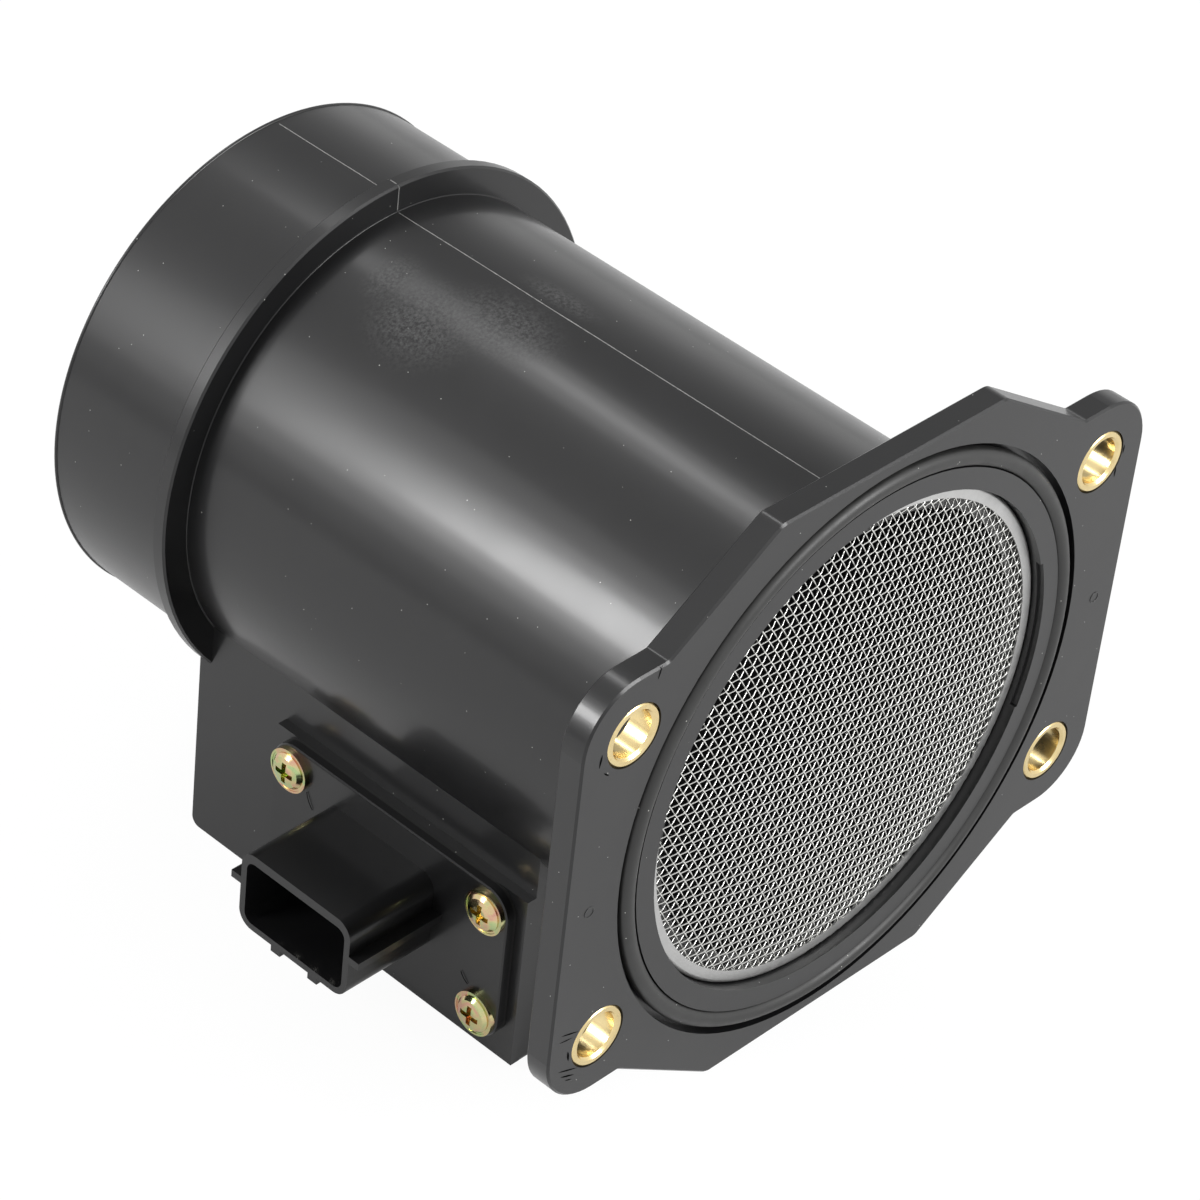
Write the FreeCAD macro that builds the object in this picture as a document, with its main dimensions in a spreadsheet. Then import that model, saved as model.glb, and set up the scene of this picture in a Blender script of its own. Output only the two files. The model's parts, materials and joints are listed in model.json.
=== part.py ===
import FreeCAD, Part
import math
import os
import Sketcher

# Mass airflow sensor: a straight moulded duct with a square bolted inlet flange, a hose spigot
# behind a collar and a sensor box on one side that carries the electronics module.
# The origin is the centre of the four flange bolts, on the flange's sealing face.
# +Y is the way the air flows, -X the side of the module and its socket, +Z up.

# Driving sizes in millimetres. A drop is a distance below the duct's axis.
driving = {
    # duct, collar and spigot
    "boreRadius": 33.5, "tubeWall": 2.9, "collarFront": 89.6, "collarThickness": 2.35, "collarHeight": 2.1,
    "spigotStep": 2.1, "spigotWall": 2.3, "spigotLength": 22.55, "flareLength": 5, "edgeChamfer": 0.3,
    # flange, its bolts and their brass limiters
    "flangeThickness": 4, "boltMarginX": 0.7, "boltSpacingZ": 50, "boltHoleRadius": 3.4, "earRadius": 9,
    "bushingRadius": 4.7, "bushingChamfer": 0.35, "bushingFit": 0.03,
    "humpMargin": 1.7, "humpHalfWidth": 21.3, "humpCornerRadius": 2.2,
    "waistInset": 5, "waistCornerRadius": 1.2,
    # mouth, screen and its ring
    "mouthStep": 4.1, "mouthFloor": 1.2, "notchHeight": 0.4, "notchDepth": 0.9, "notchAngle": 38,
    "ringStep": 2, "ringThickness": 1.2, "ringLeg": 0.3, "ringFit": 0.1, "ringEdgeRadius": 0.55,
    "screenThickness": 0.4, "screenPitch": 6.4, "screenStrip": 2.4, "screenFit": 0.1,
    # sealing ring and its groove
    "grooveWall": 3.25, "sealSection": 2.6, "sealRoom": 0.85, "sealProud": 0.5, "sealFit": 0.03,
    # sensor box and the module's seat
    "flatDepth": 6.1, "boxWidth": 34.3, "boxFront": 25.4, "boxEdgeRadius": 1.5, "footHeight": 1,
    "seatHeight": 1.6, "seatBehind": 1.3, "seatBelow": 3.3,
    # module cover, gasket and screws
    "coverInset": 1.8, "coverFall": 3.7, "coverLength": 45.7, "coverHeight": 26.2, "coverThickness": 1.4,
    "coverCornerRadius": 4, "coverEdgeChamfer": 0.2, "gasketThickness": 0.4,
    "screwInsetY": 3.7, "screwInsetZ": 3.95, "screwRadius": 1.5, "screwLength": 8, "screwFit": 0.05,
    "screwClearance": 0.2, "pilotRoom": 1, "washerRadius": 3.45, "washerThickness": 0.7, "lipWidth": 0.3,
    "lipRise": 0.1, "headRadius": 2.8, "headHeight": 0.95, "headSide": 0.15, "domeStepRise": 0.5,
    "domeStepRun": 0.45, "domeRun": 1.5, "crossLength": 3.3, "crossWidth": 0.8, "crossDepth": 1.3,
    # socket of the module and its blades
    "socketShiftY": 1.4, "socketShiftZ": 1.55, "socketWidth": 21.3, "socketHeight": 13.1,
    "socketReach": 15.6, "socketWall": 1.05, "socketTopWall": 1.5, "socketCornerRadius": 2.6,
    "socketFloor": 1.6,
    "railWidth": 1.9, "railHeight": 1.2, "railRise": 1.4,
    "ribWidth": 1.8, "ribHeight": 1, "ribShiftOne": 3.2, "ribShiftTwo": -4.1,
    "terminalCount": 5, "terminalPitch": 3.4, "terminalWidth": 1.5, "terminalThickness": 0.64,
    "terminalInset": 4.8, "terminalTaper": 1.2,
    # well behind the cover, bypass passage and what they hold
    "wellWall": 4.85, "wellRim": 3.1, "wellDepth": 11.9, "wellFit": 0.2,
    "passageLedge": 2.8, "passageFoot": 1.6, "passageHeight": 10.5, "passageWall": 7.5,
    "riserWidth": 6, "riserReach": 0.9, "plateThickness": 1.5, "boardThickness": 0.8, "boardMargin": 1,
    "chipLength": 6, "chipHeight": 4.4, "chipThickness": 1.2, "transistorLength": 5, "chipShift": 6.5,
    "chipFall": 6.2, "holderLength": 9, "holderGap": 0.75, "holderThickness": 3,
    "pinRadius": 0.45, "pinFit": 0.03, "pinProud": 0.5, "pinGap": 5.5, "pinInsetY": 2, "pinInsetZ": 1.5,
    "wireRadius": 0.25, "wireInset": 0.6,
}

# Sizes that follow from the driving ones.
following = {
    "tubeRadius": "boreRadius + tubeWall",
    "spigotRadius": "tubeRadius + spigotStep",
    "spigotBore": "spigotRadius - spigotWall",
    "collarRadius": "spigotRadius + collarHeight",
    "collarBack": "collarFront + collarThickness",
    "bodyLength": "collarBack + spigotLength",
    "flareStart": "collarBack - flareLength",
    "mouthRadius": "boreRadius + mouthStep",
    "mouthDepth": "flangeThickness - mouthFloor",
    "mouthNotchRadius": "mouthRadius + notchHeight",
    "grooveInnerRadius": "mouthRadius + grooveWall",
    "grooveOuterRadius": "grooveInnerRadius + sealSection + sealRoom",
    "grooveDepth": "sealSection - sealProud",
    "boltX": "grooveOuterRadius + boltMarginX",
    "boltZ": "boltSpacingZ / 2",
    "earX": "boltX + earRadius",
    "earZ": "boltZ + earRadius",
    "humpHalfHeight": "grooveOuterRadius + humpMargin",
    "waistHalfWidth": "boltX - waistInset",
    "bushingHoleRadius": "bushingRadius + bushingFit",
    "bushingFaceRadius": "bushingRadius - bushingChamfer",
    "bushingMouthRadius": "boltHoleRadius + bushingChamfer",
    "bushingBevelEnd": "flangeThickness - bushingChamfer",
    "boxSide": "tubeRadius - flatDepth",
    "boxFarSide": "boxWidth - boxSide",
    "boxLength": "collarBack - boxFront",
    "boxDrop": "seatBottomDrop + footHeight",
    "seatFace": "boxSide + seatHeight",
    "seatBack": "coverBackY + seatBehind",
    "seatBottomDrop": "coverBottomDrop + seatBelow",
    "gasketFace": "seatFace + gasketThickness",
    "coverFace": "gasketFace + coverThickness",
    "coverCentreY": "boxFront + coverInset + coverLength / 2",
    "coverCentreDrop": "tubeRadius + coverFall",
    "coverFrontY": "coverCentreY - coverLength / 2",
    "coverBackY": "coverCentreY + coverLength / 2",
    "coverTopDrop": "coverCentreDrop - coverHeight / 2",
    "coverBottomDrop": "coverCentreDrop + coverHeight / 2",
    "screwFrontY": "coverFrontY + screwInsetY",
    "screwBackY": "coverBackY - screwInsetY",
    "screwTopDrop": "coverTopDrop + screwInsetZ",
    "screwBottomDrop": "coverBottomDrop - screwInsetZ",
    "pilotRadius": "screwRadius + screwFit",
    "clearHoleRadius": "screwRadius + screwClearance",
    "pilotDepth": "screwLength - gasketThickness - coverThickness + pilotRoom",
    "headTop": "washerThickness + headHeight",
    "lipTop": "washerThickness + lipRise",
    "lipInnerRadius": "washerRadius - lipWidth",
    "headShoulder": "washerThickness + headSide",
    "domeStep": "headShoulder + domeStepRise",
    "domeStepRadius": "headRadius - domeStepRun",
    "domeTopRadius": "headRadius - domeRun",
    "crossHalfLength": "crossLength / 2",
    "crossHalfWidth": "crossWidth / 2",
    "socketY": "coverCentreY + socketShiftY",
    "socketDrop": "coverCentreDrop - socketShiftZ",
    "socketFace": "coverFace + socketReach",
    "socketFrontY": "socketY - socketWidth / 2",
    "socketBackY": "socketY + socketWidth / 2",
    "socketTopDrop": "socketDrop - socketHeight / 2",
    "socketBottomDrop": "socketDrop + socketHeight / 2",
    "cavityFrontY": "socketFrontY + socketWall",
    "cavityBackY": "socketBackY - socketWall",
    "cavityTopDrop": "socketTopDrop + socketTopWall",
    "cavityBottomDrop": "socketBottomDrop - socketWall",
    "cavityCornerRadius": "socketCornerRadius - socketWall",
    "cavityDepth": "socketReach - socketFloor",
    "railFrontY": "socketFrontY - railWidth",
    "railBackY": "socketBackY + railWidth",
    "railTopDrop": "socketDrop - railRise",
    "railBottomDrop": "railTopDrop + railHeight",
    "ribBottomDrop": "socketBottomDrop + ribHeight",
    "ribOneFrontY": "socketY + ribShiftOne - ribWidth / 2",
    "ribOneBackY": "socketY + ribShiftOne + ribWidth / 2",
    "ribTwoFrontY": "socketY + ribShiftTwo - ribWidth / 2",
    "ribTwoBackY": "socketY + ribShiftTwo + ribWidth / 2",
    "slotDepth": "socketReach + coverThickness",
    "terminalTopDrop": "socketDrop - terminalThickness / 2",
    "terminalBottomDrop": "socketDrop + terminalThickness / 2",
    "terminalTip": "socketFace - terminalInset",
    "terminalShoulder": "terminalTip - terminalTaper",
    "sealRadius": "sealSection / 2",
    "sealCentreRadius": "grooveInnerRadius + sealRadius + sealFit",
    "sealCentreY": "grooveDepth - sealRadius - sealFit",
    "ringFront": "mouthDepth - ringThickness",
    "ringInnerRadius": "boreRadius + ringStep",
    "ringOuterRadius": "mouthRadius - ringFit",
    "frontLegBack": "ringFront + ringLeg",
    "rearLegFront": "mouthDepth - ringLeg",
    "channelRadius": "ringOuterRadius - ringLeg",
    "screenRadius": "channelRadius - screenFit",
    "screenFront": "mouthDepth - ringThickness / 2 - screenThickness / 2",
    "wellFrontY": "screwFrontY + wellWall",
    "wellBackY": "screwBackY - wellWall",
    "wellTopDrop": "coverTopDrop + wellRim",
    "wellBottomDrop": "coverBottomDrop - wellRim",
    "wellFloor": "seatFace - wellDepth",
    "passageFrontY": "wellFrontY + passageLedge",
    "passageBackY": "wellBackY - passageLedge",
    "passageBottomDrop": "wellBottomDrop - passageFoot",
    "passageTopDrop": "passageBottomDrop - passageHeight",
    "passageDepth": "wellFloor + boxFarSide - passageWall",
    "riserInnerFrontY": "passageFrontY + riserWidth",
    "riserInnerBackY": "passageBackY - riserWidth",
    "riserTopDrop": "sqrt(boreRadius ^ 2 - wellFloor ^ 2) - riserReach",
    "plateFace": "wellFloor + plateThickness",
    "plateFrontY": "wellFrontY + wellFit",
    "plateBackY": "wellBackY - wellFit",
    "plateTopDrop": "wellTopDrop + wellFit",
    "plateBottomDrop": "wellBottomDrop - wellFit",
    "boardFace": "plateFace + boardThickness",
    "boardFrontY": "wellFrontY + boardMargin",
    "boardBackY": "wellBackY - boardMargin",
    "boardTopDrop": "wellTopDrop + boardMargin",
    "boardBottomDrop": "wellBottomDrop - boardMargin",
    "chipFace": "boardFace + chipThickness",
    "chipFrontY": "coverCentreY + chipShift - chipLength / 2",
    "transistorFrontY": "coverCentreY - chipShift - transistorLength / 2",
    "chipBottomDrop": "coverCentreDrop + chipFall + chipHeight / 2",
    "holderFrontY": "coverCentreY - holderLength / 2",
    "holderBackY": "coverCentreY + holderLength / 2",
    "holderTopDrop": "passageTopDrop + holderGap",
    "holderBottomDrop": "passageBottomDrop - holderGap",
    "pinHoleRadius": "pinRadius + pinFit",
    "pinTail": "boardFace + pinProud",
    "pinReach": "passageDepth - pinGap",
    "pinLength": "pinProud + boardThickness + plateThickness + pinReach",
    "pinFrontY": "holderFrontY + pinInsetY",
    "pinBackY": "holderBackY - pinInsetY",
    "pinTopDrop": "holderTopDrop + pinInsetZ",
    "pinBottomDrop": "holderBottomDrop - pinInsetZ",
    "wireX": "wellFloor - pinReach + wireInset",
    "wireLength": "pinBottomDrop - pinTopDrop - 2 * pinRadius",
    "wireBottomDrop": "pinBottomDrop - pinRadius",
}
for blade in range(driving["terminalCount"]):
    middle = f"socketY + ({blade} - (terminalCount - 1) / 2) * terminalPitch"
    following[f"bladeFrontY{blade + 1}"] = f"{middle} - terminalWidth / 2"
    following[f"bladeBackY{blade + 1}"] = f"{middle} + terminalWidth / 2"
    following[f"tipFrontY{blade + 1}"] = f"{middle} - terminalWidth / 4"
    following[f"tipBackY{blade + 1}"] = f"{middle} + terminalWidth / 4"

document = FreeCAD.newDocument("MassAirflowSensor")
sheet = document.addObject("Spreadsheet::Sheet", "Sizes")
row = 0
for table, prefix in ((driving, ""), (following, "=")):
    for name, content in table.items():
        row += 1
        sheet.set(f"A{row}", name)
        sheet.set(f"B{row}", prefix + str(content))
        sheet.setAlias(f"B{row}", name)
document.recompute()


# The value of a named size, with an optional minus sign before its name
def number(term):
    if term == "0":
        return 0.0
    value = float(sheet.get(term.lstrip("-")))
    return -value if term.startswith("-") else value


# Ties a property of an object, or a constraint of a sketch, to a named size
def bind(item, path, term):
    sign = "-" if term.startswith("-") else ""
    item.setExpression(path, sign + "Sizes." + term.lstrip("-"))


def newBody(name):
    body = document.addObject("PartDesign::Body", name)
    body.Label = name
    return body


# A sketch on the body's own origin plane, moved along the plane's normal by a named size
def newSketch(body, name, role, offset="0"):
    sketch = body.newObject("Sketcher::SketchObject", name)
    plane = [feature for feature in body.Origin.OriginFeatures if feature.Role == role][0]
    sketch.AttachmentSupport = [(plane, "")]
    sketch.MapMode = "FlatFace"
    if offset != "0":
        bind(sketch, "AttachmentOffset.Base.z", offset)
    return sketch


# Ties a point of the sketch to two named sizes
def pin(sketch, geometry, vertex, across, along):
    for kind, axis, term in (("DistanceX", -2, across), ("DistanceY", -1, along)):
        if term == "0":
            sketch.addConstraint(Sketcher.Constraint("PointOnObject", geometry, vertex, axis))
            continue
        if term.startswith("-"):
            ends = (geometry, vertex, -1, 1)
        else:
            ends = (-1, 1, geometry, vertex)
        index = sketch.addConstraint(Sketcher.Constraint(kind, *ends, abs(number(term))))
        bind(sketch, f"Constraints[{index}]", term.lstrip("-"))


def polygon(sketch, corners):
    first = sketch.GeometryCount
    points = [FreeCAD.Vector(number(across), number(along), 0) for across, along in corners]
    for start, end in zip(points, points[1:] + points[:1]):
        sketch.addGeometry(Part.LineSegment(start, end), False)
    for index, (across, along) in enumerate(corners):
        nextLine = first + (index + 1) % len(corners)
        sketch.addConstraint(Sketcher.Constraint("Coincident", first + index, 2, nextLine, 1))
        pin(sketch, first + index, 1, across, along)


def rectangle(sketch, left, right, bottom, top):
    polygon(sketch, [(left, bottom), (right, bottom), (right, top), (left, top)])


def circle(sketch, across, along, radius):
    centre = FreeCAD.Vector(number(across), number(along), 0)
    index = sketch.addGeometry(Part.Circle(centre, FreeCAD.Vector(0, 0, 1), number(radius)), False)
    pin(sketch, index, 3, across, along)
    constraint = sketch.addConstraint(Sketcher.Constraint("Radius", index, number(radius)))
    bind(sketch, f"Constraints[{constraint}]", radius)


def pad(body, sketch, name, length, reverse=False):
    feature = body.newObject("PartDesign::Pad", name)
    feature.Profile = sketch
    bind(feature, "Length", length)
    feature.Reversed = reverse
    document.recompute()
    return feature


def pocket(body, sketch, name, depth, reverse=False):
    before = body.Shape.Volume
    feature = body.newObject("PartDesign::Pocket", name)
    feature.Profile = sketch
    bind(feature, "Length", depth)
    feature.Reversed = reverse
    document.recompute()
    if body.Shape.Volume > before - 1e-6:
        raise ValueError(name + " cuts nothing")
    return feature


# A full revolution or groove about an axis of the sketch
def turn(body, kind, sketch, name, axis="V_Axis"):
    feature = body.newObject("PartDesign::" + kind, name)
    feature.Profile = sketch
    feature.ReferenceAxis = (sketch, [axis])
    feature.Angle = 360
    document.recompute()
    return feature


def edgesWhere(shape, test):
    return [f"Edge{index + 1}" for index, edge in enumerate(shape.Edges) if test(edge)]


# A test for straight edges that run along X, Y or Z
def along(axis):
    def test(edge):
        if edge.Curve.TypeId != "Part::GeomLine":
            return False
        run = edge.Vertexes[-1].Point - edge.Vertexes[0].Point
        return abs(abs(run["XYZ".index(axis)]) - run.Length) < 1e-6
    return test


def fillet(body, base, name, radius, edges):
    feature = body.newObject("PartDesign::Fillet", name)
    feature.Base = (base, edges)
    bind(feature, "Radius", radius)
    document.recompute()
    return feature


def chamfer(body, base, name, width, edges):
    feature = body.newObject("PartDesign::Chamfer", name)
    feature.Base = (base, edges)
    bind(feature, "Size", width)
    document.recompute()
    return feature


def near(value, target):
    return abs(value - target) < 1e-4


# Housing: flange, duct, collar, spigot and sensor box, moulded in one

def makeHousing():
    body = newBody("housing")

    outline = newSketch(body, "flangeOutline", "XZ_Plane")
    quarter = [("humpHalfWidth", "humpHalfHeight"), ("waistHalfWidth", "earZ"), ("earX", "earZ")]
    corners = list(quarter)
    corners += [(x, "-" + z) for x, z in reversed(quarter)]
    corners += [("-" + x, "-" + z) for x, z in quarter]
    corners += [("-" + x, z) for x, z in reversed(quarter)]
    polygon(outline, corners)
    flange = pad(body, outline, "flange", "flangeThickness", reverse=True)
    rounds = (
        ("earRounds", "earRadius", "earX", "earZ"),
        ("humpRounds", "humpCornerRadius", "humpHalfWidth", "humpHalfHeight"),
        ("waistRounds", "waistCornerRadius", "waistHalfWidth", "earZ"),
    )
    for name, radius, x, z in rounds:
        def corner(edge, x=x, z=z):
            place = edge.Vertexes[0].Point
            return along("Y")(edge) and near(abs(place.x), number(x)) and near(abs(place.z), number(z))
        flange = fillet(body, flange, name, radius, edgesWhere(flange.Shape, corner))
    faceEdges = edgesWhere(flange.Shape, lambda edge: not along("Y")(edge))
    flange = chamfer(body, flange, "flangeEdges", "edgeChamfer", faceEdges)

    section = newSketch(body, "ductSection", "XY_Plane")
    polygon(section, [
        ("0", "0"), ("tubeRadius", "0"), ("tubeRadius", "collarFront"),
        ("collarRadius", "collarFront"), ("collarRadius", "collarBack"),
        ("spigotRadius", "collarBack"), ("spigotRadius", "bodyLength"), ("0", "bodyLength"),
    ])
    duct = turn(body, "Revolution", section, "duct")

    def collarRim(edge):
        box = edge.BoundBox
        return near(box.XMax, number("collarRadius")) and near(box.YLength, 0)
    chamfer(body, duct, "collarEdges", "edgeChamfer", edgesWhere(duct.Shape, collarRim))

    boxOutline = newSketch(body, "boxOutline", "XZ_Plane", "-boxFront")
    rectangle(boxOutline, "-boxSide", "boxFarSide", "-boxDrop", "0")
    box = pad(body, boxOutline, "sensorBox", "boxLength", reverse=True)

    def boxFoot(edge):
        return along("X")(edge) and near(edge.BoundBox.ZMin, -number("boxDrop"))
    fillet(body, box, "boxFeet", "boxEdgeRadius", edgesWhere(box.Shape, boxFoot))

    seatOutline = newSketch(body, "seatOutline", "YZ_Plane", "-boxSide")
    rectangle(seatOutline, "boxFront", "seatBack", "-seatBottomDrop", "-coverTopDrop")
    pad(body, seatOutline, "moduleSeat", "seatHeight", reverse=True)

    boreSection = newSketch(body, "boreSection", "XY_Plane")
    polygon(boreSection, [
        ("0", "0"), ("mouthRadius", "0"), ("mouthRadius", "mouthDepth"), ("boreRadius", "mouthDepth"),
        ("boreRadius", "flareStart"), ("spigotBore", "collarBack"), ("spigotBore", "bodyLength"),
        ("0", "bodyLength"),
    ])
    turn(body, "Groove", boreSection, "bore")

    sealSection = newSketch(body, "sealGrooveSection", "XY_Plane")
    rectangle(sealSection, "grooveInnerRadius", "grooveOuterRadius", "0", "grooveDepth")
    turn(body, "Groove", sealSection, "sealGroove")

    notchSection = newSketch(body, "notchSection", "XY_Plane")
    rectangle(notchSection, "boreRadius", "mouthNotchRadius", "0", "notchDepth")
    notch = turn(body, "Groove", notchSection, "mouthNotch")
    bind(notch, "Angle", "notchAngle")
    notch.Midplane = True

    bushingHoles = newSketch(body, "bushingHoles", "XZ_Plane")
    for x in ("boltX", "-boltX"):
        for z in ("boltZ", "-boltZ"):
            circle(bushingHoles, x, z, "bushingHoleRadius")
    pocket(body, bushingHoles, "boltHoles", "flangeThickness")

    wellOutline = newSketch(body, "wellOutline", "YZ_Plane", "-seatFace")
    rectangle(wellOutline, "wellFrontY", "wellBackY", "-wellBottomDrop", "-wellTopDrop")
    pocket(body, wellOutline, "moduleWell", "wellDepth", reverse=True)

    passageOutline = newSketch(body, "passageOutline", "YZ_Plane", "-wellFloor")
    polygon(passageOutline, [
        ("passageFrontY", "-passageBottomDrop"), ("passageBackY", "-passageBottomDrop"),
        ("passageBackY", "-riserTopDrop"), ("riserInnerBackY", "-riserTopDrop"),
        ("riserInnerBackY", "-passageTopDrop"), ("riserInnerFrontY", "-passageTopDrop"),
        ("riserInnerFrontY", "-riserTopDrop"), ("passageFrontY", "-riserTopDrop"),
    ])
    pocket(body, passageOutline, "bypassPassage", "passageDepth", reverse=True)

    pilots = newSketch(body, "pilotHoles", "YZ_Plane", "-seatFace")
    for y in ("screwFrontY", "screwBackY"):
        for z in ("-screwTopDrop", "-screwBottomDrop"):
            circle(pilots, y, z, "pilotRadius")
    pilotHoles = pocket(body, pilots, "screwPilots", "pilotDepth", reverse=True)

    def outerRim(edge):
        box = edge.BoundBox
        return near(box.YMin, number("bodyLength")) and near(box.XMax, number("spigotRadius"))
    chamfer(body, pilotHoles, "rimEdge", "edgeChamfer", edgesWhere(body.Shape, outerRim))
    return body


# Brass limiters that take the bolt load, pressed in the flange

def makeBushing(index, signX, signZ):
    body = newBody(f"bolt_bushing_{index}")
    section = newSketch(body, "bushingSection", "XY_Plane")
    polygon(section, [
        ("bushingMouthRadius", "0"), ("bushingFaceRadius", "0"), ("bushingRadius", "bushingChamfer"),
        ("bushingRadius", "bushingBevelEnd"), ("bushingFaceRadius", "flangeThickness"),
        ("bushingMouthRadius", "flangeThickness"), ("boltHoleRadius", "bushingBevelEnd"),
        ("boltHoleRadius", "bushingChamfer"),
    ])
    turn(body, "Revolution", section, "bushing")
    bind(body, "Placement.Base.x", signX + "boltX")
    bind(body, "Placement.Base.z", signZ + "boltZ")
    return body


# Rubber ring in the flange's groove, hugging the groove's inner wall

def makeSeal():
    ring = document.addObject("Part::Torus", "flange_o_ring")
    bind(ring, "Radius1", "sealCentreRadius")
    bind(ring, "Radius2", "sealRadius")
    ring.Placement = FreeCAD.Placement(FreeCAD.Vector(), FreeCAD.Rotation(FreeCAD.Vector(1, 0, 0), 90))
    bind(ring, "Placement.Base.y", "sealCentreY")
    return ring


# Rolled aluminium channel that grips the edge of the screen

def makeScreenRing():
    body = newBody("screen_ring")
    section = newSketch(body, "channelSection", "XY_Plane")
    polygon(section, [
        ("ringInnerRadius", "ringFront"), ("ringOuterRadius", "ringFront"),
        ("ringOuterRadius", "mouthDepth"), ("ringInnerRadius", "mouthDepth"),
        ("ringInnerRadius", "rearLegFront"), ("channelRadius", "rearLegFront"),
        ("channelRadius", "frontLegBack"), ("ringInnerRadius", "frontLegBack"),
    ])
    channel = turn(body, "Revolution", section, "channel")

    def frontRim(edge):
        box = edge.BoundBox
        return near(box.YMax, number("ringFront")) and near(box.XMax, number("ringOuterRadius"))
    fillet(body, channel, "rolledEdge", "ringEdgeRadius", edgesWhere(channel.Shape, frontRim))
    return body


# Woven wire screen: upright strips in front of level ones, fused where they cross, in a rim

def makeScreen():
    radius = number("screenRadius")
    thickness = number("screenThickness")
    strip = number("screenStrip")
    pitch = number("screenPitch")
    strips = []
    for step in range(-math.floor(radius / pitch), math.floor(radius / pitch) + 1):
        corner = step * pitch - strip / 2
        strips.append(Part.makeBox(strip, thickness / 2, 2 * radius, FreeCAD.Vector(corner, 0, -radius)))
        strips.append(Part.makeBox(2 * radius, thickness / 2, strip,
                                   FreeCAD.Vector(-radius, thickness / 2, corner)))
    forward = FreeCAD.Vector(0, 1, 0)
    disc = Part.makeCylinder(radius, thickness, FreeCAD.Vector(), forward)
    hollow = Part.makeCylinder(number("ringInnerRadius"), thickness, FreeCAD.Vector(), forward)
    weave = strips[0].multiFuse(strips[1:]).common(disc)
    screen = document.addObject("Part::Feature", "wire_screen")
    screen.Shape = weave.fuse(disc.cut(hollow)).removeSplitter()
    screen.Placement = FreeCAD.Placement(FreeCAD.Vector(0, number("screenFront"), 0), FreeCAD.Rotation())
    return screen


# Module: cover plate with its socket, gasket and screws

def coverHoles(sketch):
    for y in ("screwFrontY", "screwBackY"):
        for z in ("-screwTopDrop", "-screwBottomDrop"):
            circle(sketch, y, z, "clearHoleRadius")


def roundCorners(body, base, name, radius, y, top, bottom):
    # the edges along X at the four corners of an outline that lies in the YZ plane
    def corner(edge):
        if not along("X")(edge):
            return False
        place = edge.Vertexes[0].Point
        atSide = any(near(place.y, number(side)) for side in y)
        return atSide and (near(-place.z, number(top)) or near(-place.z, number(bottom)))
    return fillet(body, base, name, radius, edgesWhere(base.Shape, corner))


def makeCover():
    body = newBody("module_cover")
    outline = newSketch(body, "plateOutline", "YZ_Plane", "-gasketFace")
    rectangle(outline, "coverFrontY", "coverBackY", "-coverBottomDrop", "-coverTopDrop")
    plate = pad(body, outline, "plate", "coverThickness", reverse=True)
    plate = roundCorners(body, plate, "plateCorners", "coverCornerRadius",
                         ("coverFrontY", "coverBackY"), "coverTopDrop", "coverBottomDrop")

    def faceEdge(edge):
        return near(edge.BoundBox.XMax, -number("coverFace"))
    chamfer(body, plate, "plateEdge", "coverEdgeChamfer", edgesWhere(plate.Shape, faceEdge))

    socketOutline = newSketch(body, "socketOutline", "YZ_Plane", "-coverFace")
    rectangle(socketOutline, "socketFrontY", "socketBackY", "-socketBottomDrop", "-socketTopDrop")
    socket = pad(body, socketOutline, "socket", "socketReach", reverse=True)
    roundCorners(body, socket, "socketCorners", "socketCornerRadius",
                 ("socketFrontY", "socketBackY"), "socketTopDrop", "socketBottomDrop")

    # keying rails on the sides of the socket and two ribs under it
    ribs = (
        ("frontRail", "railFrontY", "socketY", "-railBottomDrop", "-railTopDrop"),
        ("backRail", "socketY", "railBackY", "-railBottomDrop", "-railTopDrop"),
        ("firstRib", "ribOneFrontY", "ribOneBackY", "-ribBottomDrop", "-socketDrop"),
        ("secondRib", "ribTwoFrontY", "ribTwoBackY", "-ribBottomDrop", "-socketDrop"),
    )
    for name, *sides in ribs:
        ribOutline = newSketch(body, name + "Outline", "YZ_Plane", "-coverFace")
        rectangle(ribOutline, *sides)
        pad(body, ribOutline, name, "socketReach", reverse=True)

    cavityOutline = newSketch(body, "cavityOutline", "YZ_Plane", "-socketFace")
    rectangle(cavityOutline, "cavityFrontY", "cavityBackY", "-cavityBottomDrop", "-cavityTopDrop")
    cavity = pocket(body, cavityOutline, "cavity", "cavityDepth", reverse=True)
    roundCorners(body, cavity, "cavityCorners", "cavityCornerRadius",
                 ("cavityFrontY", "cavityBackY"), "cavityTopDrop", "cavityBottomDrop")

    holes = newSketch(body, "screwHoleCentres", "YZ_Plane", "-coverFace")
    coverHoles(holes)
    pocket(body, holes, "screwHoles", "coverThickness", reverse=True)
    slots = newSketch(body, "terminalSlots", "YZ_Plane", "-socketFace")
    for index in range(int(number("terminalCount"))):
        front, back = terminalSides(index)
        rectangle(slots, front, back, "-terminalBottomDrop", "-terminalTopDrop")
    pocket(body, slots, "terminalHoles", "slotDepth", reverse=True)
    return body


def terminalSides(index):
    return f"bladeFrontY{index + 1}", f"bladeBackY{index + 1}"


def makeGasket():
    body = newBody("module_gasket")
    outline = newSketch(body, "gasketOutline", "YZ_Plane", "-seatFace")
    rectangle(outline, "coverFrontY", "coverBackY", "-coverBottomDrop", "-coverTopDrop")
    sheetPad = pad(body, outline, "gasket", "gasketThickness", reverse=True)
    roundCorners(body, sheetPad, "gasketCorners", "coverCornerRadius",
                 ("coverFrontY", "coverBackY"), "coverTopDrop", "coverBottomDrop")
    window = newSketch(body, "windowOutline", "YZ_Plane", "-gasketFace")
    rectangle(window, "wellFrontY", "wellBackY", "-wellBottomDrop", "-wellTopDrop")
    coverHoles(window)
    pocket(body, window, "window", "gasketThickness", reverse=True)
    return body


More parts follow.
